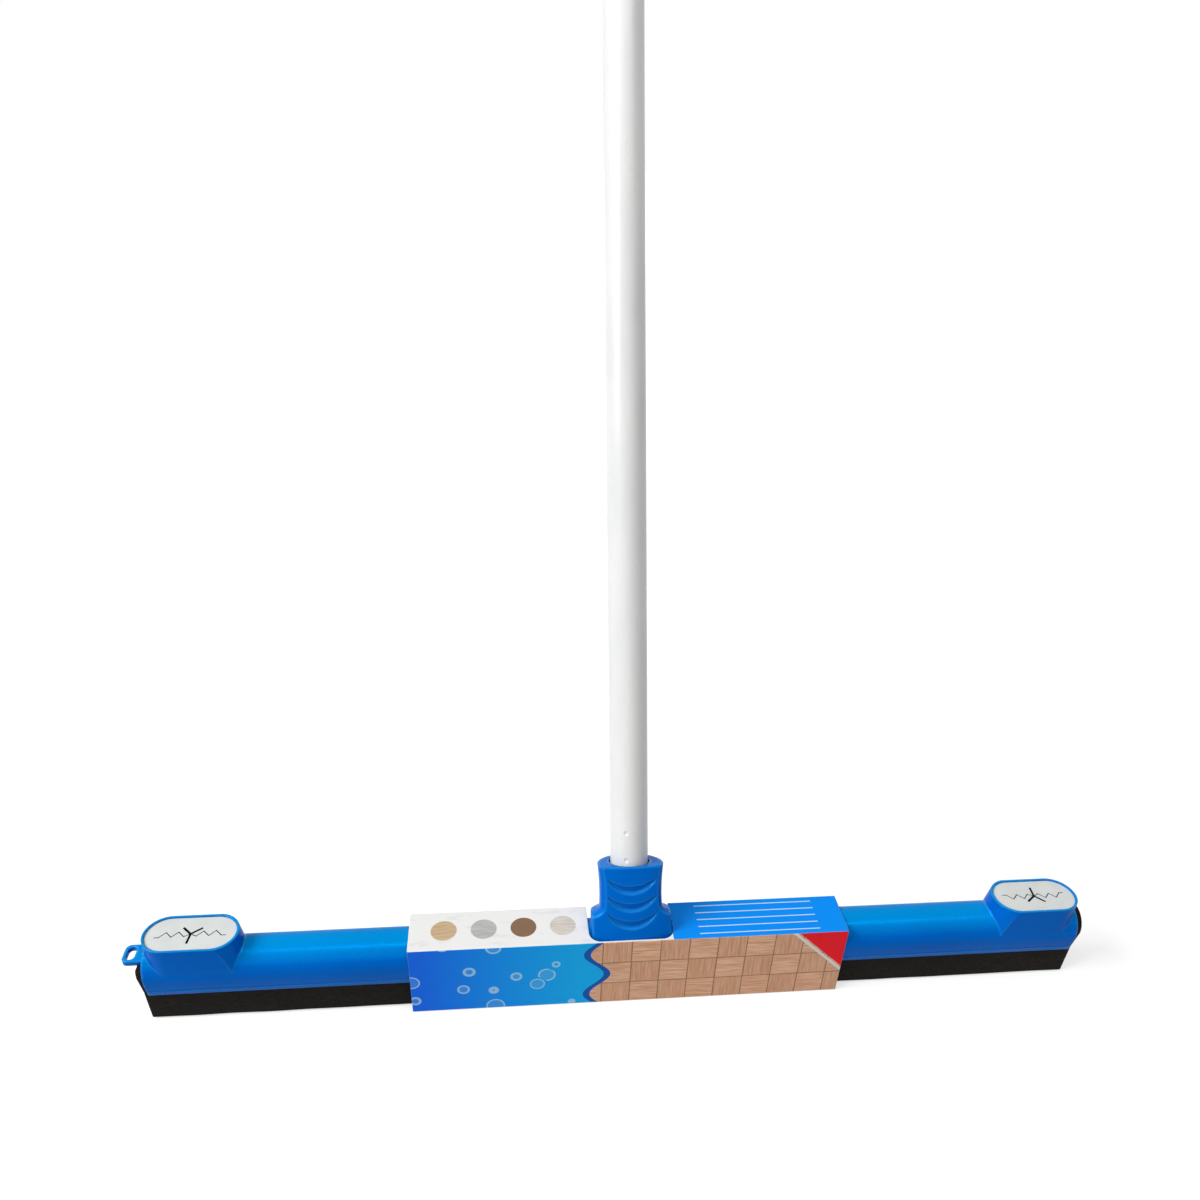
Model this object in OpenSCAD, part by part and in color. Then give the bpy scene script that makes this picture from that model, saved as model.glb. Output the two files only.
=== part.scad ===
// Floor squeegee: a moulded head with a folded foam blade, two cloth gripper pads,
// a screw-in tube handle and a folded card sleeve round the middle of the head.
// The floor is at z = 0 under the middle of the head, and +Y is the side the handle leans to.

/* [Head rail] */
// Length of the moulded head
head_len = 550; // [450:5:700]
// Widest width of the horseshoe section
rail_w = 28; // [26:0.5:32]
// Height of the widest line above the floor
rail_mid_z = 36.3; // [34:0.1:39]
// Height of the open bottom edge above the floor
rail_mouth_z = 22.1; // [19:0.1:25]
// Outside width across the open bottom edge
rail_mouth_w = 22; // [20:0.5:24]
// Wall thickness
rail_wall = 1.8; // [1.4:0.1:2.2]
// Height of the hem along the bottom edge
hem_h = 4; // [2:0.5:6]
// How far the hem stands proud
hem_proud = 0.4; // [0.2:0.1:0.8]

/* [Gripper bosses] */
// Length of a boss
boss_len = 52.6; // [44:0.2:60]
// Height of the boss tops above the floor
boss_top_z = 58.6; // [57:0.1:64]
// How far the sides of bosses and socket stay inside the rail's widest line
flush_in = 0.2; // [0.1:0.05:0.4]
// How far a boss stays back from the end of the rail
boss_back = 0.3; // [0.2:0.1:2]
// Rim left round a gripper pad
boss_rim = 1.3; // [1:0.1:2]
// Depth of the hollow under a pad
well_depth = 5; // [3:0.5:6]
// Width of the ledge that carries a pad
ledge_w = 1.4; // [1:0.1:2.5]
// How much the inner end of a boss spreads down to its root
boss_taper = 4; // [2:0.5:6]

/* [Gripper pads] */
// Thickness of a pad
pad_t = 1.8; // [1.2:0.1:2.4]
// How far a pad sits below the rim of its boss
pad_recess = 0.8; // [0.3:0.1:1.2]
// Width of the zigzag slit
slit_w = 0.5; // [0.4:0.1:0.8]
// Width of the three-armed cut
cut_w = 1.3; // [0.8:0.1:2]
// Reach of each arm of the three-armed cut
cut_reach = 6.5; // [5:0.5:8]
// Length of one leg of the zigzag along the pad
zig_step = 3.4; // [3:0.1:3.8]
// Height of the zigzag from valley to peak
zig_h = 3.6; // [2:0.2:5]
// Legs of the zigzag on each side of the middle
zig_legs = 5; // [3:1:5]
// Length of the flat end of the zigzag
zig_tail = 2.2; // [1:0.2:3]

/* [Socket] */
// Lean of the handle back from upright, in degrees
lean = 25.6; // [20:0.2:30]
// Height at which the handle axis crosses the middle of the head
axis_z = 48; // [46:0.5:50]
// Distance of the mouth from that point along the axis
mouth_s = 40; // [38:0.5:46]
// Width at the mouth
mouth_w = 38.4; // [36:0.2:42]
// Width at the waist
waist_w = 36.2; // [34:0.2:37]
// Distance of the waist along the axis
waist_s = 23; // [22:0.5:26]
// Width of the flared foot
foot_w = 46.8; // [44:0.2:50]
// Distance along the axis at which the flare of the foot starts
flare_s = 17; // [15:0.5:19]
// Distance from the axis to the front face
socket_front = 13.5; // [13:0.1:14]
// Distance from the axis to the back of the mouth
socket_back = 14.2; // [14:0.1:16]
// Radius of the front's bulge
front_r = 90; // [60:1:120]
// How far behind the centre of the sides the rounding of the front corners is centred
round_back = 7; // [5:0.5:9]
// How much larger that rounding is than the sides
round_out = 2.6; // [1.4:0.1:3]
// How much wider that rounding flares at the foot
round_sweep = 2; // [1:0.5:4]
// Distance from the axis to the arched back of the foot
foot_back = 14; // [13.5:0.1:14.5]
// Radius of the foot's arched back
foot_back_r = 27; // [25:0.5:32]
// Radius of the foot's upright front corners
corner_r = 6; // [3:0.5:8]
// Distance of the lowest grip scoop along the axis
scoop_s = 3.4; // [2:0.2:5]
// Spacing of the grip scoops
scoop_pitch = 10.4; // [9:0.2:10.6]
// Number of grip scoops
scoop_count = 3; // [1:1:3]
// Radius of the lower edge of a scoop
scoop_r = 15.9; // [14:0.1:18]
// Radius of the upper edge of a scoop
scoop_top_r = 24; // [22:0.5:30]
// Height of a scoop at its middle
scoop_h = 4.2; // [3:0.2:5]
// Depth of a scoop at its middle
scoop_depth = 1.9; // [1.4:0.1:2.2]
// Height over which a scoop slopes in, which leaves a small step at its upper edge
scoop_ramp = 5.4; // [5.2:0.2:8]

/* [Hanging loop] */
// Reach of the loop past the end of the head
loop_reach = 12.4; // [11:0.2:16]
// Width of the loop
loop_w = 13; // [12:0.5:18]
// Thickness of the loop
loop_t = 3; // [2.4:0.2:4]
// Height of the loop's middle above the floor
loop_z = 43.1; // [42:0.1:45]
// Width of the slot in the loop
slot_w = 4.8; // [4.6:0.1:6]
// Length of the slot in the loop
slot_len = 9.4; // [8:0.2:9.6]
// Bar left outside the slot
loop_bar = 1.8; // [1.6:0.1:3]

/* [Foam blade] */
// How far the foam stands out past each end of the head, at its top
foam_past = 4.2; // [2:0.2:5]
// How much less it stands out at its foot
foam_slant = 1.2; // [0.4:0.2:2]
// Width across both lips below the rail
foam_w = 18.8; // [17:0.2:20]
// Gap between the two lips
lip_gap = 1; // [0.6:0.1:2]

/* [Handle] */
// Outside diameter of the tube
tube_d = 22; // [21:0.5:22.4]
// Wall of the tube
tube_wall = 0.8; // [0.6:0.1:1.2]
// Length of the tube
tube_len = 1170; // [600:10:1500]
// How far the tube goes into the socket
tube_in = 6; // [4:0.5:8]
// Diameter of the threaded part of the tip
thread_d = 19.9; // [18:0.1:20]
// Length of the threaded part of the tip
thread_len = 25; // [20:0.5:26]
// Length of the tapered lead of the thread
thread_lead = 3; // [2:0.5:5]
// Thickness of the flange under the tube
flange_t = 1.5; // [1:0.1:2]
// Length of the shank inside the tube
shank_len = 32; // [28:1:45]
// Distance of the lower staking dimple from the tube's end
dimple_s = 9; // [8:0.5:10]
// Spacing of the two staking dimples
dimple_pitch = 16; // [14:0.5:17]
// Radius of a dimple's punch
dimple_r = 2.6; // [1.6:0.1:3]
// Depth of a dimple
dimple_depth = 0.5; // [0.3:0.1:0.5]
// Turn of the dimples round the tube from its front, in degrees
dimple_turn = 16; // [0:1:45]

/* [End cap] */
// Wall of the cap round the tube
cap_wall = 1.4; // [1.2:0.1:2]
// Length of the cap over the tube
cap_len = 30; // [20:1:45]
// Height of the tapered shoulder
cap_taper = 9; // [7:0.5:12]
// Width of the hanging eye
eye_w = 17; // [16:0.5:19]
// Thickness of the hanging eye
eye_t = 8; // [7:0.5:10]
// Diameter of the hanging hole
eye_hole_d = 8; // [6:0.5:9]

/* [Card sleeve] */
// Length of the sleeve along the head
sleeve_len = 257; // [180:1:300]
// Thickness of the card
card_t = 0.5; // [0.3:0.1:0.6]
// Outside radius of the folds
fold_r = 1; // [0.8:0.1:1.5]
// Width of the opening round the socket
window_w = 49.6; // [48:0.2:54]
// Corner radius of that opening
window_r = 7; // [5:0.5:9]
// Card left in front of that opening
window_front = 0.9; // [0.8:0.1:1.5]
// How far the opening runs down the back panel
window_drop = 13; // [11:0.5:16]

/* [Clearances] */
// Gap between the foam and the rail
foam_gap = 0.2; // [0.1:0.05:0.3]
// Gap round a gripper pad
pad_gap = 0.1; // [0.05:0.05:0.2]
// Running gap of the threaded tip in the socket and in the tube
run_gap = 0.06; // [0.03:0.01:0.1]
// Gap round the tube in the mouth of the socket
tube_gap = 1.1; // [0.5:0.1:1.2]
// Gap between the sleeve and what it wraps
sleeve_gap = 0.3; // [0.2:0.1:0.5]
// Gap at end faces that come close
end_gap = 0.4; // [0.3:0.1:0.6]
// Gap between the cap and the tube
cap_gap = 0.05; // [0.03:0.01:0.1]

/* [Hidden] */
$fn = 96;
// Small overrun that lets a cut pass through a face
over = 1;

rail_r = rail_w / 2;
crest_z = rail_mid_z + rail_r;
// Radius of the sides, which leave the widest line upright and draw in to the mouth
side_drop = rail_mid_z - rail_mouth_z;
side_in = rail_r - rail_mouth_w / 2;
side_r = (side_drop * side_drop + side_in * side_in) / (2 * side_in);

boss_x = head_len / 2 - boss_back - boss_len / 2;
boss_r = rail_r - flush_in;
// The bosses start below the widest line, inside the rail's side walls
boss_root_z = rail_mid_z - rail_wall;
boss_half = boss_len / 2 - boss_r;
pad_r = boss_r - boss_rim - pad_gap;
pad_z = boss_top_z - pad_recess - pad_t;
well_z = pad_z - well_depth;

// The socket's sides are round about a line in front of the handle's axis
side_y = socket_back - mouth_w / 2;
// Concave radii of the socket's sides at the waist and at the flare
waist_rise = mouth_s - waist_s;
waist_out = (mouth_w - waist_w) / 2;
waist_r = (waist_rise * waist_rise + waist_out * waist_out) / (2 * waist_out);
flare_r = (foot_w - waist_w) / 2;
// The socket starts this far below the axis crossing, inside the rail
root_s = -20;
// How much wider the socket's plan is than its foot, which trims it
plan_out = 0.6;

tube_r = tube_d / 2;
tube_s = mouth_s - tube_in;
flange_s = tube_s - end_gap - flange_t;
thread_r = thread_d / 2;
thread_s = flange_s - thread_len;
mouth_floor_s = flange_s - end_gap;
bore_floor_s = thread_s - end_gap;
shank_r = tube_r - tube_wall - run_gap;
tube_top_s = tube_s + tube_len;
cap_r = tube_r + cap_gap + cap_wall;
eye_s = tube_top_s + end_gap + cap_wall + cap_taper + eye_w / 2;

sleeve_in = rail_r + sleeve_gap;
sleeve_out = sleeve_in + card_t;
sleeve_top_z = crest_z + sleeve_gap + card_t;
foam_z = card_t + sleeve_gap;
foam_lip_top_z = rail_mouth_z - foam_gap;
foam_lean = atan(foam_slant / (crest_z - foam_z));

// Turns a drawing in the Y-Z plane into a bar along X, centred on the head
module along_head(length) {
    translate([-length / 2, 0, 0])
        rotate([90, 0, 90])
            linear_extrude(length)
                children();
}

// Stands a shape on the handle's axis, with its own z along the handle
module on_axis() {
    translate([0, 0, axis_z])
        rotate([-lean, 0, 0])
            children();
}

// Horseshoe section, drawn in by an inset from the rail's outer surface
module horseshoe(inset, low_z) {
    translate([0, rail_mid_z])
        circle(rail_r - inset);
    intersection() {
        translate([side_r - rail_r, rail_mid_z])
            circle(side_r - inset, $fn = 200);
        translate([rail_r - side_r, rail_mid_z])
            circle(side_r - inset, $fn = 200);
        translate([-rail_w, low_z])
            square([2 * rail_w, rail_mid_z - low_z]);
    }
}

// Oval with round ends, as a slab of the given height
module oval(radius, half, height) {
    translate([-half, -radius, 0])
        cube([2 * half, 2 * radius, height]);
    for (side = [-1, 1])
        translate([side * half, 0, 0])
            cylinder(r = radius, h = height);
}

// Boss that stands on the left end of the rail, spread at its inner end
module boss() {
    height = boss_top_z - boss_root_z;
    translate([0, 0, boss_root_z]) {
        translate([-boss_half, -boss_r, 0])
            cube([2 * boss_half, 2 * boss_r, height]);
        translate([-boss_half, 0, 0])
            cylinder(r = boss_r, h = height);
        intersection() {
            translate([boss_half, 0, 0])
                cylinder(r1 = rail_r + boss_taper, r2 = rail_r, h = height);
            translate([0, -boss_r, 0])
                cube([boss_len, 2 * boss_r, height]);
        }
    }
}

// The hollow in a boss, with the seat of its pad
module boss_hollow() {
    translate([0, 0, well_z])
        oval(pad_r - ledge_w, boss_half, well_depth + over);
    translate([0, 0, pad_z])
        oval(pad_r + pad_gap, boss_half, pad_t + pad_recess + over);
}

// Half outline of the socket about an upright line: waisted column on a flared foot
module socket_profile(out, sweep) {
    waist_x = waist_w / 2 + out;
    flare_x = waist_x + flare_r + sweep;
    difference() {
        translate([0, root_s - over])
            square([mouth_w / 2 + out + over, mouth_s - root_s + 2 * over]);
        translate([waist_x + waist_r, waist_s])
            circle(waist_r, $fn = 200);
    }
    difference() {
        translate([0, root_s - over])
            square([flare_x, flare_s - root_s + over]);
        translate([flare_x, flare_s])
            circle(flare_r + sweep);
    }
}

// Plan of the socket: bulged front, round front corners, arched back
module socket_plan(width) {
    corner_x = width / 2 - corner_r;
    intersection() {
        translate([0, front_r - socket_front])
            circle(front_r, $fn = 200);
        translate([0, foot_back - foot_back_r])
            circle(foot_back_r);
        union() {
            translate([-corner_x, -socket_front])
                square([2 * corner_x, socket_front + foot_back]);
            translate([-width / 2, corner_r - socket_front])
                square([width, foot_back + socket_front - corner_r]);
            for (side = [-1, 1])
                translate([side * corner_x, corner_r - socket_front])
                    circle(corner_r);
        }
    }
}

// Solid of the socket, trimmed to the rail's front and down to its widest line
module socket() {
    intersection() {
        on_axis()
            intersection() {
                translate([0, 0, root_s])
                    linear_extrude(mouth_s - root_s)
                        socket_plan(foot_w + plan_out);
                translate([0, side_y, 0])
                    rotate_extrude()
                        socket_profile(0, 0);
                translate([0, side_y + round_back, 0])
                    rotate_extrude()
                        socket_profile(round_out, round_sweep);
            }
        translate([-foot_w, -boss_r, boss_root_z])
            cube([2 * foot_w, 4 * rail_w, 2 * mouth_s]);
    }
}

// Crescent scoop in the socket's front, sloping in to its lower edge
module scoop(low_s) {
    rise = scoop_depth + over;
    inner_r = scoop_r - scoop_ramp * rise / scoop_depth;
    translate([0, scoop_depth - socket_front, low_s + scoop_r])
        rotate([90, 0, 0])
            difference() {
                rotate_extrude()
                    polygon([[scoop_r, 0], [scoop_r, rise], [inner_r, rise]]);
                translate([0, scoop_h + scoop_top_r - scoop_r, -over])
                    cylinder(r = scoop_top_r, h = rise + 2 * over);
            }
}

// Bore for the threaded tip, with a wider mouth for the tube
module socket_bore() {
    translate([0, 0, bore_floor_s])
        cylinder(r = thread_r + run_gap, h = mouth_s - bore_floor_s);
    translate([0, 0, mouth_floor_s])
        cylinder(r = tube_r + tube_gap, h = mouth_s - mouth_floor_s + over);
}

// Flat loop at the left end for hanging the head on a hook, on a web across the rail's arch
module hanging_loop() {
    end_x = -head_len / 2;
    round_r = loop_w / 4;
    slot_x = end_x - loop_reach + loop_bar + slot_w / 2;
    slot_half = slot_len / 2 - slot_w / 2;
    difference() {
        translate([0, 0, loop_z - loop_t / 2])
            union() {
                translate([end_x - loop_reach + round_r, -loop_w / 2, 0])
                    cube([loop_reach - round_r + rail_wall, loop_w, loop_t]);
                translate([end_x - loop_reach, round_r - loop_w / 2, 0])
                    cube([loop_reach, loop_w - 2 * round_r, loop_t]);
                translate([end_x, -loop_w / 2, 0])
                    cube([rail_wall, loop_w, crest_z - rail_wall / 2 - loop_z + loop_t / 2]);
                for (side = [-1, 1])
                    translate([end_x - loop_reach + round_r, side * (loop_w / 2 - round_r), 0])
                        cylinder(r = round_r, h = loop_t);
            }
        translate([slot_x - slot_w / 2, -slot_half, loop_z - loop_t])
            cube([slot_w, 2 * slot_half, 2 * loop_t]);
        for (side = [-1, 1])
            translate([slot_x, side * slot_half, loop_z - loop_t])
                cylinder(d = slot_w, h = 2 * loop_t);
    }
}

// Moulded head: rail, bosses, socket and hanging loop in one piece
module head() {
    color("dodgerblue") {
        hanging_loop();
        difference() {
            union() {
                along_head(head_len)
                    horseshoe(0, rail_mouth_z);
                along_head(head_len)
                    intersection() {
                        horseshoe(-hem_proud, rail_mouth_z);
                        translate([-rail_w, rail_mouth_z])
                            square([2 * rail_w, hem_h]);
                    }
                translate([-boss_x, 0, 0])
                    boss();
                translate([boss_x, 0, 0])
                    rotate([0, 0, 180])
                        boss();
                socket();
            }
            along_head(head_len)
                horseshoe(rail_wall, rail_mouth_z - over);
            for (side = [-1, 1])
                translate([side * boss_x, 0, 0])
                    boss_hollow();
            on_axis() {
                socket_bore();
                for (i = [0 : scoop_count - 1])
                    scoop(scoop_s + i * scoop_pitch);
            }
        }
    }
}

// Foam strip folded over inside the rail, with two lips hanging to the floor
module foam_blade() {
    length = head_len + 2 * foam_past;
    notch_z = loop_z - loop_t / 2 - end_gap;
    trim = 10 * over;
    color("#201e1d")
        difference() {
            union() {
                along_head(length)
                    horseshoe(rail_wall + foam_gap, foam_lip_top_z);
                along_head(length)
                    translate([-foam_w / 2, foam_z])
                        square([foam_w, foam_lip_top_z - foam_z]);
            }
            along_head(length + 2 * over) {
                translate([-lip_gap / 2, foam_z - over])
                    square([lip_gap, rail_mid_z - foam_z + over]);
                translate([0, rail_mid_z])
                    circle(lip_gap);
            }
            for (side = [-1, 1])
                translate([side * (length / 2 - foam_slant), 0, foam_z])
                    rotate([0, side * foam_lean, 0])
                        translate([(side - 1) * trim / 2, -rail_w, -trim])
                            cube([trim, 2 * rail_w, crest_z + 2 * trim]);
            translate([-length / 2 - over, -rail_w, notch_z])
                cube([foam_past + over + rail_wall + end_gap, 2 * rail_w, crest_z]);
        }
}

// One straight leg of a slit, as an upright slab between two points
module slit_leg(from, to, width) {
    run = to - from;
    translate([from[0], from[1], pad_z - over])
        rotate([0, 0, atan2(run[1], run[0])])
            translate([-width / 2, -width / 2, 0])
                cube([norm(run) + width, width, pad_t + 2 * over]);
}

// Soft pad with a zigzag slit and a three-armed cut that grip a cloth
module gripper_pad() {
    arms = [[-0.7, 0.7], [0.8, 0.6], [-0.1, -1]];
    zig_x = zig_legs * zig_step;
    tail_y = (zig_legs % 2 == 0 ? 1 : -1) * zig_h / 2;
    color("gainsboro")
        difference() {
            translate([0, 0, pad_z])
                oval(pad_r, boss_half, pad_t);
            for (side = [-1, 1]) {
                for (i = [0 : zig_legs - 1]) {
                    rise = (i % 2 == 0 ? -1 : 1) * zig_h / 2;
                    slit_leg([side * i * zig_step, i == 0 ? 0 : -rise],
                             [side * (i + 1) * zig_step, rise], slit_w);
                }
                slit_leg([side * zig_x, tail_y], [side * (zig_x + zig_tail), tail_y], slit_w);
            }
            for (arm = arms)
                slit_leg([0, 0], cut_reach * arm, cut_w);
        }
}

module left_gripper() {
    translate([-boss_x, 0, 0])
        gripper_pad();
}

module right_gripper() {
    translate([boss_x, 0, 0])
        rotate([0, 0, 180])
            gripper_pad();
}

// Plastic tip of the handle: lead, thread at its full diameter, flange and shank
module thread_tip() {
    color("whitesmoke")
        on_axis() {
            translate([0, 0, thread_s])
                cylinder(r1 = thread_r - thread_lead / 2, r2 = thread_r, h = thread_lead);
            translate([0, 0, thread_s + thread_lead])
                cylinder(r = thread_r, h = thread_len - thread_lead);
            translate([0, 0, flange_s])
                cylinder(r = tube_r, h = flange_t);
            translate([0, 0, flange_s + flange_t])
                cylinder(r = shank_r, h = shank_len);
        }
}

// Painted steel tube, staked to the tip by two dimples
module handle_tube() {
    color("white")
        on_axis()
            difference() {
                translate([0, 0, tube_s])
                    cylinder(r = tube_r, h = tube_len);
                translate([0, 0, tube_s - over])
                    cylinder(r = tube_r - tube_wall, h = tube_len + 2 * over);
                for (i = [0, 1])
                    rotate([0, 0, -dimple_turn])
                        translate([0, dimple_depth - dimple_r - tube_r, tube_s + dimple_s + i * dimple_pitch])
                            sphere(dimple_r, $fn = 32);
            }
}

// Plastic cap over the top of the tube, with a hanging eye
module end_cap() {
    shoulder_s = tube_top_s + end_gap + cap_wall;
    color("dodgerblue")
        on_axis()
            difference() {
                union() {
                    translate([0, 0, tube_top_s - cap_len])
                        cylinder(r = cap_r, h = shoulder_s - tube_top_s + cap_len);
                    translate([0, 0, shoulder_s])
                        cylinder(r1 = cap_r, r2 = eye_t / 2, h = cap_taper);
                    translate([-eye_t / 2, -eye_w / 2, shoulder_s])
                        cube([eye_t, eye_w, eye_s - shoulder_s]);
                    translate([-eye_t / 2, 0, eye_s])
                        rotate([0, 90, 0])
                            cylinder(d = eye_w, h = eye_t);
                }
                translate([0, 0, tube_top_s - cap_len - over])
                    cylinder(r = tube_r + cap_gap, h = cap_len + end_gap + over);
                translate([-eye_t, 0, eye_s])
                    rotate([0, 90, 0])
                        cylinder(d = eye_hole_d, h = 2 * eye_t);
            }
}

// Rectangle with round corners, from a low corner
module round_rect(low, size, radius) {
    translate(low + [radius, 0])
        square([size[0] - 2 * radius, size[1]]);
    translate(low + [0, radius])
        square([size[0], size[1] - 2 * radius]);
    for (x = [radius, size[0] - radius])
        for (y = [radius, size[1] - radius])
            translate(low + [x, y])
                circle(radius);
}

// Printed card wrapped round the head, open round the socket
module card_sleeve() {
    inner = [2 * sleeve_in, sleeve_top_z - 2 * card_t];
    window_y = window_front - sleeve_out;
    color("deepskyblue")
        difference() {
            along_head(sleeve_len)
                difference() {
                    round_rect([-sleeve_out, 0], [2 * sleeve_out, sleeve_top_z], fold_r);
                    round_rect([-sleeve_in, card_t], inner, fold_r - card_t);
                }
            translate([0, 0, sleeve_top_z - window_drop])
                linear_extrude(window_drop + over)
                    round_rect([-window_w / 2, window_y], [window_w, 3 * sleeve_out], window_r);
        }
}

head();
foam_blade();
left_gripper();
right_gripper();
thread_tip();
handle_tube();
end_cap();
card_sleeve();
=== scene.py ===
"""Studio scene of a floor squeegee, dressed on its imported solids.

All lengths are in metres, in the frame of the solids: the floor is at z = 0 under the middle
of the head, +X runs along the head and the handle leans to +Y.
"""
import math

import bmesh
import bpy
from mathutils import Matrix, Vector, noise


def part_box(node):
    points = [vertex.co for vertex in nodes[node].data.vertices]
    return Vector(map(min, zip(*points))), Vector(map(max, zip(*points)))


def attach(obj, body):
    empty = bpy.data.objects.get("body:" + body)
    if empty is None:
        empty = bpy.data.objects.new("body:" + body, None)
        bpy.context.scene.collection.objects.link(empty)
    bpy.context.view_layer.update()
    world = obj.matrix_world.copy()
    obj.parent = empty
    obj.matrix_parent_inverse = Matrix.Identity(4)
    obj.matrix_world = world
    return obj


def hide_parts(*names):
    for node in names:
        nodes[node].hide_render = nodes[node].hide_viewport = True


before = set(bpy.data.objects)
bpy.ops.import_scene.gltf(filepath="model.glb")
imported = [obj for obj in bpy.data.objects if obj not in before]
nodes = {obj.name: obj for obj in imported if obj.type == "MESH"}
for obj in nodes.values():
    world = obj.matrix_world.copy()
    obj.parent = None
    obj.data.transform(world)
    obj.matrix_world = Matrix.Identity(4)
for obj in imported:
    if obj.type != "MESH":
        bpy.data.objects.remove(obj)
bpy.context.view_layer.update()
scene = bpy.context.scene
scene.view_settings.view_transform = "Standard"

MM = 0.001


# Camera, at the photograph's place and angle
CAMERA_AT = Vector((-70.3, -403.0, 471.8)) * MM
CAMERA_YAW = math.radians(6.66)
CAMERA_PITCH = math.radians(32.43)
CAMERA_ROLL = math.radians(2.32)
CAMERA_LENS = 29.04
CAMERA_SENSOR = 36.0
CAMERA_SHIFT = 0.075
CAMERA_NEAR = 10 * MM


def add_camera():
    data = bpy.data.cameras.new("camera")
    data.lens = CAMERA_LENS
    data.sensor_width = CAMERA_SENSOR
    data.shift_y = CAMERA_SHIFT
    data.clip_start = CAMERA_NEAR
    camera = bpy.data.objects.new("camera", data)
    ahead = Vector((
        math.sin(CAMERA_YAW) * math.cos(CAMERA_PITCH),
        math.cos(CAMERA_YAW) * math.cos(CAMERA_PITCH),
        -math.sin(CAMERA_PITCH),
    ))
    level = Vector((math.cos(CAMERA_YAW), -math.sin(CAMERA_YAW), 0.0))
    upright = level.cross(ahead)
    right = math.cos(CAMERA_ROLL) * level + math.sin(CAMERA_ROLL) * upright
    up = math.cos(CAMERA_ROLL) * upright - math.sin(CAMERA_ROLL) * level
    turn = Matrix((right, up, -ahead)).transposed()
    camera.matrix_world = Matrix.Translation(CAMERA_AT) @ turn.to_4x4()
    scene.collection.objects.link(camera)
    scene.camera = camera


add_camera()


# Places of a mixing node's sockets, for values and for colours
MIX_SHARE = 0
MIX_VALUES = (2, 3)
MIX_VALUE_RESULT = 0
MIX_COLOURS = (6, 7)
MIX_COLOUR_RESULT = 2

# Usual spread of a noise
NOISE_LOW, NOISE_HIGH = 0.3, 0.7

# Cosine of an edge's turn where its mask starts, and where it is full
EDGE_STARTS, EDGE_FULL = 0.999, 0.90
EDGE_SAMPLES = 6


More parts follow.
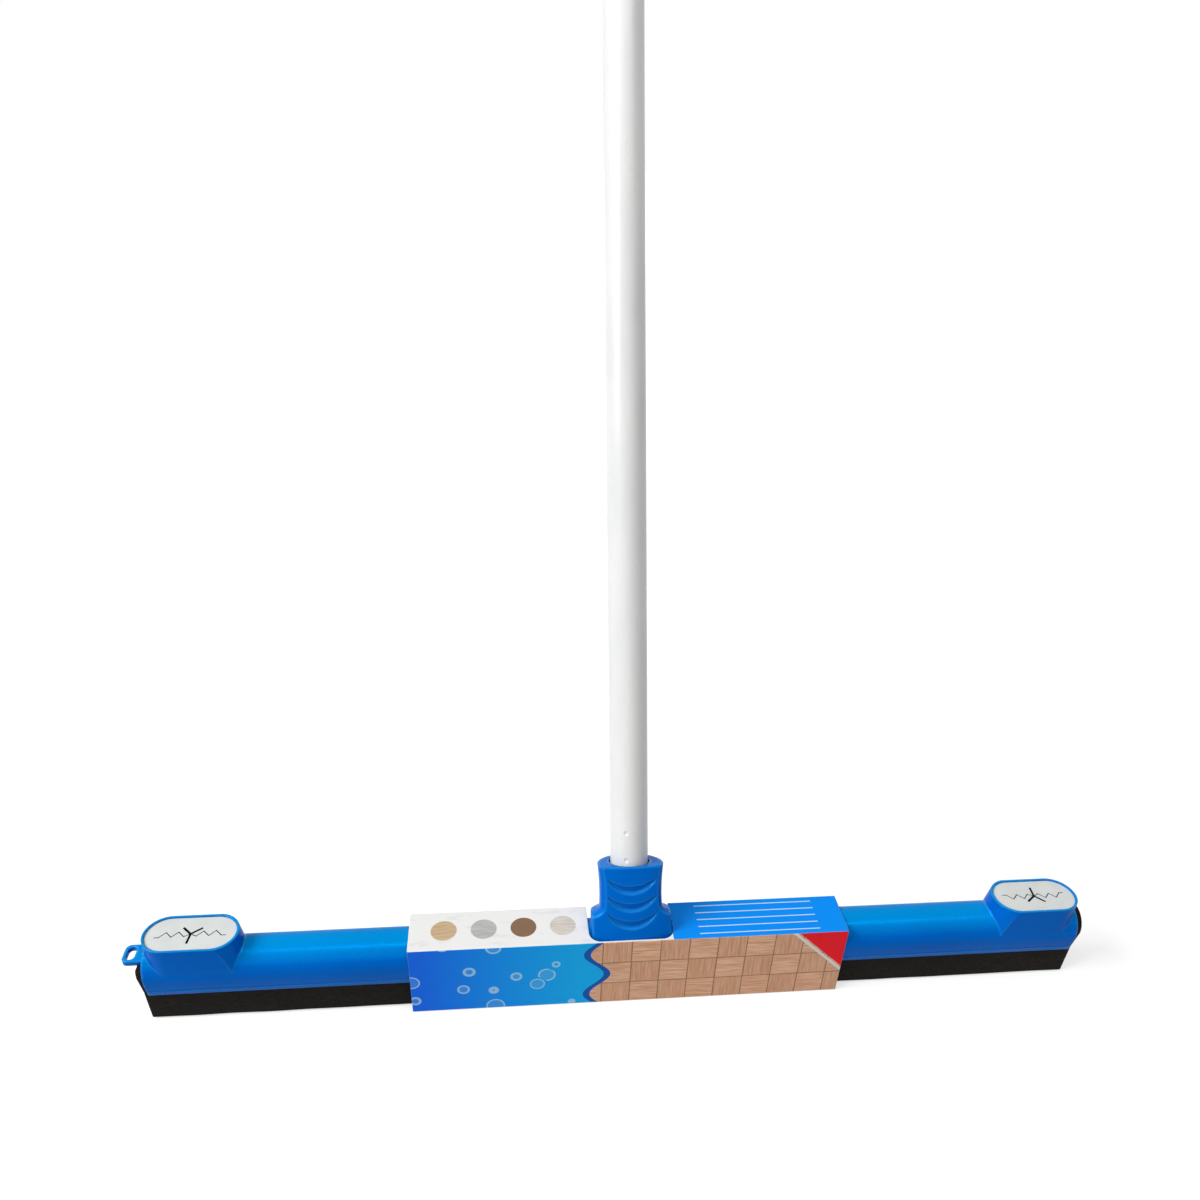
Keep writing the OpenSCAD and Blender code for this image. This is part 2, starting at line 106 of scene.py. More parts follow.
class Graph:
    """Adds and joins the shader nodes of one material."""

    def __init__(self, material):
        self.tree = material.node_tree
        self.tree.nodes.clear()

    def feed(self, socket, value):
        if isinstance(value, bpy.types.NodeSocket):
            self.tree.links.new(value, socket)
        else:
            socket.default_value = value

    def add(self, kind, inputs=None, **settings):
        node = self.tree.nodes.new(kind)
        for name, value in settings.items():
            setattr(node, name, value)
        for key, value in (inputs or {}).items():
            self.feed(node.inputs[key], value)
        return node

    def math(self, operation, a, b=0.0, clamp=False):
        node = self.add("ShaderNodeMath", {0: a, 1: b}, operation=operation, use_clamp=clamp)
        return node.outputs[0]

    def mix(self, share, a, b):
        """Colour that lies a share of the way from a to b."""
        low, high = MIX_COLOURS
        node = self.add("ShaderNodeMix", {MIX_SHARE: share, low: a, high: b}, data_type="RGBA")
        return node.outputs[MIX_COLOUR_RESULT]

    def mix_values(self, share, a, b):
        """Value that lies a share of the way from a to b."""
        low, high = MIX_VALUES
        node = self.add("ShaderNodeMix", {MIX_SHARE: share, low: a, high: b}, data_type="FLOAT")
        return node.outputs[MIX_VALUE_RESULT]

    def place(self):
        """The point on the object, and its X, Y and Z."""
        where = self.add("ShaderNodeTexCoord").outputs["Object"]
        return where, self.add("ShaderNodeSeparateXYZ", {0: where}).outputs

    def facing(self):
        """X, Y and Z of the surface's own direction."""
        normal = self.add("ShaderNodeNewGeometry").outputs["Normal"]
        return self.add("ShaderNodeSeparateXYZ", {0: normal}).outputs

    def noise(self, where, scale, detail=3.0, rough=0.55):
        """Soft noise with about scale spots to the metre."""
        inputs = {"Vector": where, "Scale": scale, "Detail": detail, "Roughness": rough}
        return self.add("ShaderNodeTexNoise", inputs).outputs["Fac"]

    def streaks(self, where, scales, detail, rough=0.55):
        """Noise with its own count of spots to the metre along X, Y and Z."""
        stretched = self.add("ShaderNodeMapping", {"Vector": where, "Scale": scales}).outputs[0]
        return self.noise(stretched, 1.0, detail, rough)

    def between(self, value, low=0.0, high=1.0, to_low=0.0, to_high=1.0):
        """Value carried from one range to another, held at its ends."""
        inputs = dict(enumerate((value, low, high, to_low, to_high)))
        return self.add("ShaderNodeMapRange", inputs).outputs[0]

    def spread(self, value, to_low=0.0, to_high=1.0):
        """Noise carried from its usual spread to another range."""
        return self.between(value, NOISE_LOW, NOISE_HIGH, to_low, to_high)

    def above(self, value, limit):
        return self.math("GREATER_THAN", value, limit)

    def below(self, value, limit):
        return self.math("LESS_THAN", value, limit)

    def within(self, value, low, high):
        return self.both(self.above(value, low), self.below(value, high))

    def both(self, first, second):
        """Mask of where two masks meet."""
        return self.math("MULTIPLY", first, second)

    def weak(self, mask, amount):
        """Mask that reaches no more than an amount."""
        return self.math("MULTIPLY", mask, amount)

    def in_cell(self, value, pitch):
        """Place in a cell that repeats at a pitch, from -0.5 to 0.5 of it."""
        return self.math("SUBTRACT", self.math("FRACT", self.math("DIVIDE", value, pitch)), 0.5)

    def soft_edge(self, radius):
        """Direction of the surface with its sharp edges rounded, and a mask of those edges."""
        bevel = self.add("ShaderNodeBevel", {"Radius": radius}, samples=EDGE_SAMPLES)
        rounded = bevel.outputs[0]
        plain = self.add("ShaderNodeNewGeometry").outputs["Normal"]
        dot = self.add("ShaderNodeVectorMath", {0: rounded, 1: plain}, operation="DOT_PRODUCT")
        return rounded, self.between(dot.outputs["Value"], EDGE_STARTS, EDGE_FULL)

    def bump(self, height, depth, normal=None):
        inputs = {"Height": height, "Distance": depth, "Strength": 1.0}
        if normal is not None:
            inputs["Normal"] = normal
        return self.add("ShaderNodeBump", inputs).outputs[0]

    def surface(self, **inputs):
        shader = self.add("ShaderNodeBsdfPrincipled")
        for name, value in inputs.items():
            self.feed(shader.inputs[name.replace("_", " ")], value)
        self.add("ShaderNodeOutputMaterial", {"Surface": shader.outputs[0]})


def new_material(name):
    material = bpy.data.materials.new(name)
    material.use_nodes = True
    return material, Graph(material)


def colour(red, green, blue):
    return (red, green, blue, 1.0)


# Where the blue plastic changes: the handle's socket, the bosses at the ends and the rail's hem
SOCKET_HALF_X = 32 * MM
SOCKET_FROM_Z = 52 * MM
BOSS_FROM_X = 212 * MM
BOSS_FROM_Z = 38 * MM
BOSS_TO_Z = 55 * MM
HEM_FROM_Z = 22 * MM
HEM_TO_Z = 27.5 * MM

# How far the edges are rounded
RAIL_EDGE_R = 0.9 * MM
SOCKET_EDGE_R = 2.6 * MM
BOSS_EDGE_R = 2.2 * MM
PAD_EDGE_R = 0.4 * MM
FOLD_EDGE_R = 0.5 * MM


def gloss_plastic(name):
    """Moulded polypropylene: deep blue, with painted light that makes it clearer where it faces up,
    painted highlights on its edges, flow lines and a scuffed hem.
    """
    material, g = new_material(name)
    where, (x, _, z) = g.place()
    _, _, upward = g.facing()
    from_middle = g.math("ABSOLUTE", x)
    on_socket = g.both(g.below(from_middle, SOCKET_HALF_X), g.above(z, SOCKET_FROM_Z))
    on_boss = g.both(g.above(from_middle, BOSS_FROM_X), g.within(z, BOSS_FROM_Z, BOSS_TO_Z))
    on_hem = g.within(z, HEM_FROM_Z, HEM_TO_Z)

    radius = g.between(on_socket, to_low=RAIL_EDGE_R, to_high=SOCKET_EDGE_R)
    radius = g.math("ADD", radius, g.weak(on_boss, BOSS_EDGE_R - RAIL_EDGE_R))
    rounded, edges = g.soft_edge(radius)

    clouds = g.spread(g.noise(where, scale=14.0))
    deep = g.mix(clouds, colour(0.0, 0.120, 0.54), colour(0.0, 0.138, 0.60))
    # Painted light: clear is a lit copy of the blue, mixed in where the surface faces up, and less of it
    # on the socket
    clear = g.mix(clouds, colour(0.0, 0.245, 0.64), colour(0.0, 0.275, 0.70))
    lit = g.between(upward, low=0.42, high=1.0)
    lit = g.both(lit, g.between(on_socket, to_low=1.0, to_high=0.35))
    base = g.mix(lit, deep, clear)
    flow = g.streaks(where, (9.0, 260.0, 260.0), detail=4.0)
    base = g.mix(g.between(flow, low=0.55, high=0.8, to_high=0.22), base, colour(0.0, 0.21, 0.68))
    # Painted highlight: a lighter blue along the rounded edges
    base = g.mix(g.weak(edges, 0.4), base, colour(0.02, 0.34, 0.80))
    scuffs = g.streaks(where, (22.0, 30.0, 1500.0), detail=5.0, rough=0.65)
    worn = g.both(on_hem, g.between(scuffs, low=0.54, high=0.66, to_high=0.3))
    base = g.mix(worn, base, colour(0.02, 0.20, 0.46))

    grain = g.noise(where, scale=1400.0, detail=2.0)
    rough = g.spread(g.noise(where, scale=60.0), to_low=0.2, to_high=0.3)
    g.surface(
        Base_Color=base,
        Metallic=0.12,
        Roughness=g.math("ADD", rough, worn),
        Specular_IOR_Level=g.between(edges, to_low=0.03, to_high=0.5),
        Specular_Tint=colour(0.1, 0.5, 1.0),
        Normal=g.bump(grain, depth=0.015 * MM, normal=rounded),
    )
    return material


def gripper_rubber():
    """Soft pale rubber with a fine matt grain, faint handling marks and a painted highlight on its
    edges; painted shade makes it black where it faces away from up, down in its cuts.
    """
    material, g = new_material("gripper_rubber")
    where, _ = g.place()
    _, _, upward = g.facing()
    grain = g.noise(where, scale=2600.0, detail=2.0)
    marks = g.noise(where, scale=90.0, detail=4.0)
    rounded, edges = g.soft_edge(PAD_EDGE_R)
    marked = g.between(marks, low=0.35, high=0.75)
    base = g.mix(marked, colour(0.70, 0.73, 0.71), colour(0.63, 0.66, 0.65))
    base = g.mix(g.between(grain, low=0.35, high=0.65, to_high=0.25), base, colour(0.56, 0.60, 0.59))
    # Painted highlight: a paler grey along the rounded edges
    base = g.mix(g.weak(edges, 0.4), base, colour(0.80, 0.82, 0.81))
    # Painted shade: black on every face that turns away from up, such as the walls of the cuts
    base = g.mix(g.below(upward, 0.5), base, colour(0.02, 0.02, 0.02))
    g.surface(
        Base_Color=base,
        Roughness=g.spread(marks, to_low=0.62, to_high=0.75),
        Specular_IOR_Level=0.3,
        Normal=g.bump(grain, depth=0.05 * MM, normal=rounded),
    )
    return material


def tube_paint():
    """White powder coat with a slight orange peel and faint grey handling marks."""
    material, g = new_material("tube_paint")
    where, _ = g.place()
    peel = g.noise(where, scale=700.0, detail=2.0)
    marks = g.streaks(where, (60.0, 12.0, 12.0), detail=5.0)
    marked = g.between(marks, low=0.4, high=0.75)
    g.surface(
        Base_Color=g.mix(marked, colour(0.78, 0.78, 0.77), colour(0.68, 0.69, 0.69)),
        Roughness=g.spread(marks, to_low=0.24, to_high=0.36),
        Specular_IOR_Level=0.5,
        Normal=g.bump(peel, depth=0.04 * MM),
    )
    return material


def tip_plastic():
    """Matt off-white moulded plastic of the screw tip, with greyer patches."""
    material, g = new_material("tip_plastic")
    where, _ = g.place()
    grain = g.noise(where, scale=900.0, detail=3.0)
    dirt = g.noise(where, scale=150.0, detail=4.0)
    dirty = g.between(dirt, low=0.4, high=0.7)
    g.surface(
        Base_Color=g.mix(dirty, colour(0.75, 0.75, 0.73), colour(0.62, 0.62, 0.60)),
        Roughness=g.spread(dirt, to_low=0.45, to_high=0.6),
        Normal=g.bump(grain, depth=0.03 * MM),
    )
    return material


FOAM_CELLS = 1500.0


def blade_foam():
    """Fine closed-cell foam: nearly black with a brown cast, matt, with pinhole cells."""
    material, g = new_material("blade_foam")
    where, _ = g.place()
    holes = g.add("ShaderNodeTexVoronoi", {"Vector": where, "Scale": FOAM_CELLS})
    cells = holes.outputs["Distance"]
    skin_noise = g.noise(where, scale=420.0, detail=4.0)
    dust = g.streaks(where, (40.0, 160.0, 160.0), detail=5.0, rough=0.6)
    to_wall = g.between(cells, low=0.15, high=0.75)
    base = g.mix(to_wall, colour(0.005, 0.004, 0.003), colour(0.011, 0.009, 0.007))
    base = g.mix(g.between(dust, low=0.5, high=0.8, to_high=0.5), base, colour(0.026, 0.021, 0.015))
    g.surface(
        Base_Color=base,
        Roughness=g.spread(skin_noise, to_low=0.72, to_high=0.9),
        Specular_IOR_Level=0.12,
        Normal=g.bump(g.math("ADD", cells, skin_noise), depth=0.12 * MM),
    )
    return material


# Sleeve: where its outer panels begin, and how squarely a face has to look their way
FRONT_PANEL_Y = -14.2 * MM
BACK_PANEL_Y = 14.2 * MM
TOP_PANEL_Z = 50.0 * MM
UNDER_PANEL_Z = 0.4 * MM
PANEL_SQUARE = 0.6

# Print on the sleeve: a free design of bubbles on blue, square tiles, swatches and a red corner
FADE_FROM, FADE_TO = -122 * MM, -30 * MM
BUBBLE_CELL = 15 * MM
BUBBLE_SMALL, BUBBLE_LARGE = 0.16, 0.42
BUBBLE_RIM = 0.028
FRONT_SPLIT = -18 * MM
SPLIT_WAVE = 6 * MM
SPLIT_TURN = 190.0
SPLIT_BORDER = 4 * MM
TILE = 17 * MM
TILE_JOINT = 0.482
CORNER_SUM = 150 * MM
STRIPE_FROM, STRIPE_TO = -4 * MM, -1.5 * MM
TOP_SPLIT = 24 * MM
LINE_PITCH = 5.5 * MM
LINE_SHARE = 0.88
LINES_FROM, LINES_TO = 40 * MM, 112 * MM
SWATCH_PITCH = 23 * MM
SWATCH_R = 7.5 * MM
SWATCH_FROM, SWATCH_TO = -120 * MM, -28 * MM
SWATCH_TONES = [
    colour(0.62, 0.44, 0.27),
    colour(0.50, 0.50, 0.50),
    colour(0.24, 0.14, 0.08),
    colour(0.68, 0.63, 0.55),
]


def bubble_print(g, where, x):
    """Blue that fades along the sleeve, with scattered soap bubbles of many sizes."""
    blue = g.mix(g.between(x, FADE_FROM, FADE_TO), colour(0.0, 0.16, 0.92), colour(0.0, 0.47, 0.98))
    inputs = {"Vector": where, "Scale": 1 / BUBBLE_CELL, "Randomness": 0.8}
    cells = g.add("ShaderNodeTexVoronoi", inputs, voronoi_dimensions="3D")
    chance = g.add("ShaderNodeSeparateXYZ", {0: cells.outputs["Color"]}).outputs[0]
    radius = g.between(chance, to_low=BUBBLE_SMALL, to_high=BUBBLE_LARGE)
    past = g.math("SUBTRACT", cells.outputs["Distance"], radius)
    film = g.below(past, 0.0)
    rim = g.below(g.math("ABSOLUTE", past), BUBBLE_RIM)
    filmed = g.mix(g.weak(film, 0.16), blue, colour(0.30, 0.75, 0.98))
    return g.mix(g.weak(rim, 0.6), filmed, colour(0.55, 0.84, 0.98))


def swatch_print(g, where, x, y, plain):
    """Row of round floor samples in four tones, on the pale part of the top panel."""
    along = g.math("SUBTRACT", x, SWATCH_FROM)
    dx = g.math("MULTIPLY", g.in_cell(along, SWATCH_PITCH), SWATCH_PITCH)
    reach = g.math("SQRT", g.math("ADD", g.math("POWER", dx, 2.0), g.math("POWER", y, 2.0)))
    inside = g.both(g.below(reach, SWATCH_R), g.within(x, SWATCH_FROM, SWATCH_TO))
    number = g.math("FLOOR", g.math("DIVIDE", along, SWATCH_PITCH))
    tone = SWATCH_TONES[0]
    for i, next_tone in enumerate(SWATCH_TONES[1:]):
        tone = g.mix(g.above(number, i + 0.5), tone, next_tone)
    grain = g.streaks(where, (90.0, 700.0, 90.0), detail=5.0)
    tone = g.mix(g.between(grain, low=0.4, high=0.7, to_high=0.35), tone, colour(0.16, 0.11, 0.08))
    return g.mix(inside, plain, tone)


def tile_print(g, where, x, z):
    """Tan wood-tone squares, turned by a quarter from one to the next, with dark joints."""
    column = g.math("FLOOR", g.math("DIVIDE", x, TILE))
    row = g.math("FLOOR", g.math("DIVIDE", z, TILE))
    turned = g.math("MODULO", g.math("ABSOLUTE", g.math("ADD", column, row)), 2.0)
    along = g.streaks(where, (60.0, 60.0, 900.0), detail=5.0, rough=0.6)
    upright = g.streaks(where, (900.0, 60.0, 60.0), detail=5.0, rough=0.6)
    grain = g.between(g.mix_values(turned, along, upright), low=0.32, high=0.68)
    wood = g.mix(grain, colour(0.63, 0.295, 0.16), colour(0.97, 0.63, 0.42))
    wood = g.mix(g.weak(turned, 0.35), wood, colour(0.58, 0.28, 0.155))
    to_side = g.math("ABSOLUTE", g.in_cell(x, TILE))
    to_end = g.math("ABSOLUTE", g.in_cell(z, TILE))
    joint = g.above(g.math("MAXIMUM", to_side, to_end), TILE_JOINT)
    return g.mix(g.weak(joint, 0.7), wood, colour(0.14, 0.075, 0.04))


def front_print(g, where, x, z, bubbled):
    """Bubbles, then tiles past a wavy dark border, and a red corner with a pale stripe."""
    wave = g.math("MULTIPLY", g.math("SINE", g.math("MULTIPLY", z, SPLIT_TURN)), SPLIT_WAVE)
    past = g.math("SUBTRACT", g.math("ADD", x, wave), FRONT_SPLIT)
    result = g.mix(g.above(past, 0.0), bubbled, tile_print(g, where, x, z))
    result = g.mix(g.within(past, -SPLIT_BORDER, 0.0), result, colour(0.0, 0.10, 0.45))
    corner = g.math("SUBTRACT", g.math("ADD", x, z), CORNER_SUM)
    result = g.mix(g.above(corner, 0.0), result, colour(0.94, 0.006, 0.02))
    return g.mix(g.within(corner, STRIPE_FROM, STRIPE_TO), result, colour(0.82, 0.81, 0.79))


def top_print(g, where, x, y, pale):
    """Swatches on pale card, and plain lines on blue past the handle's window."""
    lines = g.above(g.math("FRACT", g.math("DIVIDE", y, LINE_PITCH)), LINE_SHARE)
    lines = g.both(lines, g.within(x, LINES_FROM, LINES_TO))
    lined = g.mix(g.weak(lines, 0.8), colour(0.0, 0.265, 0.90), colour(0.78, 0.82, 0.86))
    return g.mix(g.above(x, TOP_SPLIT), swatch_print(g, where, x, y, pale), lined)


def sleeve_card():
    """Coated card with a free print outside, grey board inside and rubbed folds."""
    material, g = new_material("sleeve_card")
    where, (x, y, z) = g.place()
    _, ny, nz = g.facing()
    front = g.both(g.below(ny, -PANEL_SQUARE), g.below(y, FRONT_PANEL_Y))
    top = g.both(g.above(nz, PANEL_SQUARE), g.above(z, TOP_PANEL_Z))
    back = g.both(g.above(ny, PANEL_SQUARE), g.above(y, BACK_PANEL_Y))
    under = g.both(g.below(nz, -PANEL_SQUARE), g.below(z, UNDER_PANEL_Z))
    printed = g.math("ADD", g.math("ADD", front, top), g.math("ADD", back, under), clamp=True)

    speckle = g.streaks(where, (60.0, 150.0, 60.0), detail=6.0, rough=0.65)
    speckled = g.between(speckle, low=0.56, high=0.62, to_high=0.3)
    pale = g.mix(speckled, colour(0.82, 0.82, 0.80), colour(0.60, 0.61, 0.62))
    bubbled = bubble_print(g, where, x)
    board = g.noise(where, scale=500.0, detail=4.0)
    base = g.mix(board, colour(0.66, 0.64, 0.60), colour(0.76, 0.75, 0.72))
    base = g.mix(back, base, bubbled)
    base = g.mix(under, base, pale)
    base = g.mix(front, base, front_print(g, where, x, z, bubbled))
    base = g.mix(top, base, top_print(g, where, x, y, pale))

    rounded, folds = g.soft_edge(FOLD_EDGE_R)
    wear = g.noise(where, scale=160.0, detail=4.0)
    rubbed = g.both(folds, g.between(wear, low=0.35, high=0.7, to_low=0.05, to_high=0.45))
    base = g.mix(rubbed, base, colour(0.80, 0.82, 0.83))

    warp = g.noise(where, scale=22.0, detail=2.0)
    fibre = g.noise(where, scale=900.0, detail=3.0)
    rough = g.between(printed, to_low=0.8, to_high=0.34)
    height = g.math("ADD", g.math("MULTIPLY", warp, 30.0), fibre)
    g.surface(
        Base_Color=base,
        Roughness=g.math("ADD", rough, g.weak(fibre, 0.06)),
        Specular_IOR_Level=0.1,
        Normal=g.bump(height, depth=0.02 * MM, normal=rounded),
    )
    return material


def dress(node, material):
    slots = nodes[node].data.materials
    slots.clear()
    slots.append(material)


BLUE = gloss_plastic("head_plastic")
dress("head", BLUE)
dress("end_cap", BLUE)
RUBBER = gripper_rubber()
dress("left_gripper", RUBBER)
dress("right_gripper", RUBBER)
dress("handle_tube", tube_paint())
dress("card_sleeve", sleeve_card())


def finish_piece(name, builder, material, body, node):
    """Turns a mesh under construction into a smooth piece that stands for a solid."""
    mesh = bpy.data.meshes.new(name)
    bmesh.ops.recalc_face_normals(builder, faces=builder.faces)
    builder.to_mesh(mesh)
    builder.free()
    for face in mesh.polygons:
        face.use_smooth = True
    mesh.materials.append(material)
    piece = bpy.data.objects.new(name, mesh)
    scene.collection.objects.link(piece)
    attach(piece, body)
    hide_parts(node)
    return piece


def skin(builder, rings):
    """Joins rings of equal count into a closed skin with flat ends."""
    loops = [[builder.verts.new(point) for point in ring] for ring in rings]
    count = len(loops[0])
    for low, high in zip(loops, loops[1:]):
        for i in range(count):
            j = (i + 1) % count
            builder.faces.new((low[i], low[j], high[j], high[i]))
    builder.faces.new(loops[0])
    builder.faces.new(loops[-1])


# Foam strip, folded over inside the rail, with a notch under the hanging loop
FOAM_LOW, FOAM_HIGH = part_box("foam_blade")
FOAM_HALF = 9.4 * MM
HALF_GAP = 0.5 * MM
RAIL_MID = 36.3 * MM
LIP_TOP = 21.9 * MM
LIP_ROUND = 0.8 * MM
NOTCH_X = -272.8 * MM
NOTCH_Z = 41.2 * MM
NOTCH_WALL = 0.05 * MM
FOAM_STEP = 4 * MM

# Ends of the strip: how they are rounded, and their slant of 1.2 mm over 49.5 mm
END_ROUND = 0.8 * MM
END_ARC = (0, 30, 60, 90)
END_SLANT = 1.2 / 49.5

# Unevenness of the lips, which grows over a height below the rail
LOOSE_OVER = 8 * MM
RIPPLE = 0.22 * MM
RIPPLE_ALONG = 45
RIPPLE_ACROSS = 90


def arc(centre, radius, start, end, count):
    """Points on an arc in the section, from a start to an end angle in degrees."""
    points = []
    for i in range(count + 1):
        angle = math.radians(start + (end - start) * i / count)
        points.append(centre + radius * Vector((math.cos(angle), math.sin(angle))))
    return points


def line(start, end, count):
    """Points from start up to, but not at, end."""
    return [start.lerp(end, i / count) for i in range(count)]


def foam_half_section():
    """Outline of the +Y lip and half the fold, from the slit round to the crest."""
    low = FOAM_LOW.z
    top_r = FOAM_HIGH.z - RAIL_MID
    inner_round = LIP_ROUND / 2
    inner = Vector((HALF_GAP, low + inner_round))
    shoulder = Vector((FOAM_HALF, LIP_TOP))
    points = line(Vector((HALF_GAP, RAIL_MID)), inner, count=12)
    points += arc(Vector((HALF_GAP + inner_round, inner.y)), inner_round, 180, 270, count=3)
    points += line(points.pop(), Vector((FOAM_HALF - LIP_ROUND, low)), count=5)
    points += arc(Vector((FOAM_HALF - LIP_ROUND, low + LIP_ROUND)), LIP_ROUND, 270, 360, count=5)
    points += line(points.pop(), shoulder, count=13)
    points += line(shoulder, Vector((top_r, RAIL_MID)), count=6)
    points += arc(Vector((0.0, RAIL_MID)), top_r, 0, 90, count=14)
    return points


def foam_section():
    half = foam_half_section()
    other = [Vector((-p.x, p.y)) for p in reversed(half[:-1])]
    return half + other


def foam_ring(section, x, inset, slant=0.0):
    """One ring of the strip: rounded and slanted at its ends, uneven along its lips, and notched."""
    ring = []
    for i, point in enumerate(section):
        ahead = section[(i + 1) % len(section)] - section[i - 1]
        out = Vector((ahead.y, -ahead.x)).normalized()
        loose = max(0.0, min(1.0, (LIP_TOP - point.y) / LOOSE_OVER))
        spot = Vector((x * RIPPLE_ALONG, point.x * RIPPLE_ACROSS, point.y * RIPPLE_ACROSS))
        ripple = noise.noise(spot) * RIPPLE
        place = point + out * (loose * ripple - inset)
        if x < NOTCH_X and place.y > NOTCH_Z:
            place.y = NOTCH_Z
        drop = (NOTCH_Z if x < 0 else FOAM_HIGH.z) - place.y
        ring.append(Vector((x + slant * drop, place.x, place.y)))
    return ring


def add_foam():
    builder = bmesh.new()
    section = foam_section()
    rings = []
    length = FOAM_HIGH.x - FOAM_LOW.x
    count = round(length / FOAM_STEP)
    rounding = []
    for degrees in END_ARC:
        angle = math.radians(degrees)
        rounding.append((END_ROUND * (1 - math.cos(angle)), END_ROUND * (1 - math.sin(angle))))
    for depth, inset in rounding:
        rings.append(foam_ring(section, FOAM_LOW.x + depth, inset, END_SLANT))
    for i in range(1, count):
        x = FOAM_LOW.x + length * i / count
        if x - FOAM_STEP < NOTCH_X <= x:
            rings.append(foam_ring(section, NOTCH_X - NOTCH_WALL, 0.0))
            rings.append(foam_ring(section, NOTCH_X, 0.0))
        rings.append(foam_ring(section, x, 0.0))
    for depth, inset in reversed(rounding):
        rings.append(foam_ring(section, FOAM_HIGH.x - depth, inset, -END_SLANT))
    skin(builder, rings)
    foam = blade_foam()
    piece = finish_piece("foam_strip", builder, foam, "squeegee_head", "foam_blade")


add_foam()


# Screw tip with its cut thread, measured along the handle's axis
AXIS_AT = Vector((0.0, 0.0, 48.0)) * MM
LEAN = math.radians(25.6)
ALONG = Vector((0.0, math.sin(LEAN), math.cos(LEAN)))
ASIDE = Vector((1.0, 0.0, 0.0))
ACROSS = ALONG.cross(ASIDE)
TIP_END_R = 7.2 * MM
TIP_CHAMFER = 0.4 * MM
THREAD_R = 9.95 * MM
THREAD_DEEP = 1.4 * MM
THREAD_PITCH = 4.0 * MM
THREAD_FROM = 7.1 * MM
THREAD_TO = 32.1 * MM
THREAD_LEAD = 3 * MM
THREAD_RUN_OUT = 2 * MM
THREAD_STEPS = 110
TOOTH_STEEP = 1.6
TOOTH_CUT = 0.3
FLANGE_R = 11.0 * MM
FLANGE_TO = 33.6 * MM
FLANGE_BEVEL = 0.25 * MM
SHANK_R = 10.1 * MM
SHANK_TO = 65.6 * MM
ROUND_STEPS = 72


def thread_radius(s, angle):
    """Radius of the rounded thread at a distance along the axis and an angle."""
    turn = (s / THREAD_PITCH - angle / math.tau) % 1.0
    tooth = 0.5 + 0.5 * math.cos(math.tau * turn)
    tooth = min(1.0, max(0.0, TOOTH_STEEP * tooth - TOOTH_CUT))
    lead = min(1.0, (s - THREAD_FROM) / THREAD_LEAD)
    run_out = min(1.0, (THREAD_TO - s) / THREAD_RUN_OUT)
    return THREAD_R - THREAD_DEEP + THREAD_DEEP * tooth * lead * run_out


def axis_ring(s, radius):
    """Ring round the handle's axis; radius is a length or a function of the angle."""
    ring = []
    for i in range(ROUND_STEPS):
        angle = math.tau * i / ROUND_STEPS
        r = radius(angle) if callable(radius) else radius
        ring.append(AXIS_AT + s * ALONG + r * (math.cos(angle) * ASIDE + math.sin(angle) * ACROSS))
    return ring


def add_screw_tip():
    builder = bmesh.new()
    rings = [axis_ring(THREAD_FROM, TIP_END_R)]
    for i in range(THREAD_STEPS + 1):
        s = THREAD_FROM + TIP_CHAMFER + (THREAD_TO - THREAD_FROM - TIP_CHAMFER) * i / THREAD_STEPS
        rings.append(axis_ring(s, lambda angle: thread_radius(s, angle)))
    rings.append(axis_ring(THREAD_TO, FLANGE_R - FLANGE_BEVEL))
    rings.append(axis_ring(THREAD_TO + FLANGE_BEVEL, FLANGE_R))
    rings.append(axis_ring(FLANGE_TO - FLANGE_BEVEL, FLANGE_R))
    rings.append(axis_ring(FLANGE_TO, FLANGE_R - FLANGE_BEVEL))
    rings.append(axis_ring(FLANGE_TO, SHANK_R))
    rings.append(axis_ring(SHANK_TO - FLANGE_BEVEL, SHANK_R))
    rings.append(axis_ring(SHANK_TO, SHANK_R - FLANGE_BEVEL))
    skin(builder, rings)
    finish_piece("screw_tip_thread", builder, tip_plastic(), "screw_tip", "thread_tip")


add_screw_tip()


# Floor and backdrop: white where they are seen, and plain where they light the object
WHITE = colour(1.0, 1.0, 1.0)
FLOOR_HALF = 6.0
FLOOR_DROP = 0.2 * MM
FLOOR_GREY = colour(0.55, 0.55, 0.55)
GLOW_FROM, GLOW_TO = 0.5, 2.5
GLOW_NEAR, GLOW_FAR = 0.6, 1.0
SKY_LIGHT, SKY_SEEN = 0.22, 1.0


def seen_directly(g):
    """One for rays that show the background, and zero for rays that light the object."""
    path = g.add("ShaderNodeLightPath").outputs
    either = g.math("ADD", path["Is Camera Ray"], path["Is Glossy Ray"], clamp=True)
    return g.math("ADD", either, path["Is Transmission Ray"], clamp=True)


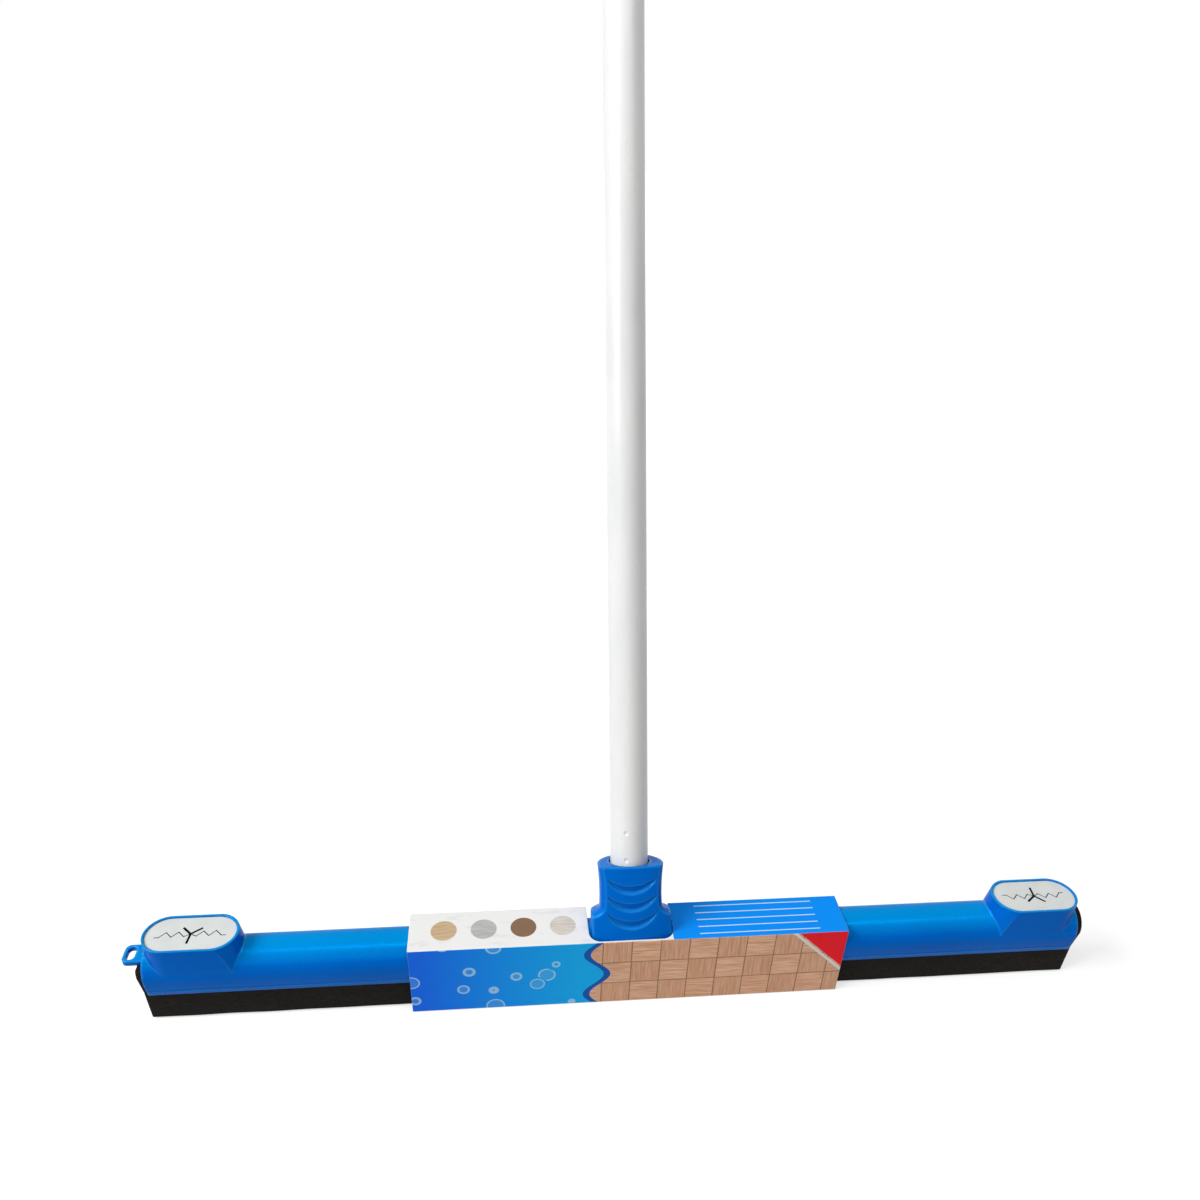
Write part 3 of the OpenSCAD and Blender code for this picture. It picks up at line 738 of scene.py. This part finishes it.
def add_floor():
    builder = bmesh.new()
    corners = []
    for x, y in ((-1, -1), (1, -1), (1, 1), (-1, 1)):
        corners.append(builder.verts.new((FLOOR_HALF * x, FLOOR_HALF * y, -FLOOR_DROP)))
    builder.faces.new(corners)
    mesh = bpy.data.meshes.new("floor")
    builder.to_mesh(mesh)
    builder.free()
    material, g = new_material("floor")
    where, _ = g.place()
    away = g.add("ShaderNodeVectorMath", {0: where}, operation="LENGTH").outputs["Value"]
    far = g.between(away, GLOW_FROM, GLOW_TO, GLOW_NEAR, GLOW_FAR)
    strength = g.math("MULTIPLY", seen_directly(g), far)
    matt = g.add("ShaderNodeBsdfDiffuse", {"Color": FLOOR_GREY})
    glow = g.add("ShaderNodeEmission", {"Color": WHITE, "Strength": strength})
    both = g.add("ShaderNodeAddShader", {0: matt.outputs[0], 1: glow.outputs[0]})
    g.add("ShaderNodeOutputMaterial", {"Surface": both.outputs[0]})
    mesh.materials.append(material)
    floor = bpy.data.objects.new("floor", mesh)
    scene.collection.objects.link(floor)


def add_world():
    world = bpy.data.worlds.new("studio")
    world.use_nodes = True
    scene.world = world
    g = Graph(world)
    strength = g.between(seen_directly(g), to_low=SKY_LIGHT, to_high=SKY_SEEN)
    sky = g.add("ShaderNodeBackground", {"Color": WHITE, "Strength": strength})
    g.add("ShaderNodeOutputWorld", {"Surface": sky.outputs[0]})


def add_softbox(name, place, aim, size, watts):
    data = bpy.data.lights.new(name, "AREA")
    data.shape = "RECTANGLE"
    data.size, data.size_y = size
    data.energy = watts
    lamp = bpy.data.objects.new(name, data)
    lamp.location = place
    lamp.rotation_euler = (Vector(aim) - Vector(place)).to_track_quat("-Z", "Y").to_euler()
    scene.collection.objects.link(lamp)


add_floor()
add_world()
add_softbox("key", place=(-3.0, -0.5, 2.6), aim=(0.0, 0.0, 0.1), size=(2.2, 1.8), watts=135)
add_softbox("strip", place=(0.15, -0.35, 1.5), aim=(0.15, 0.0, 0.05), size=(1.5, 0.22), watts=7)
add_softbox("fill", place=(-0.5, -1.8, 0.9), aim=(0.0, 0.1, 0.2), size=(1.2, 0.9), watts=2)
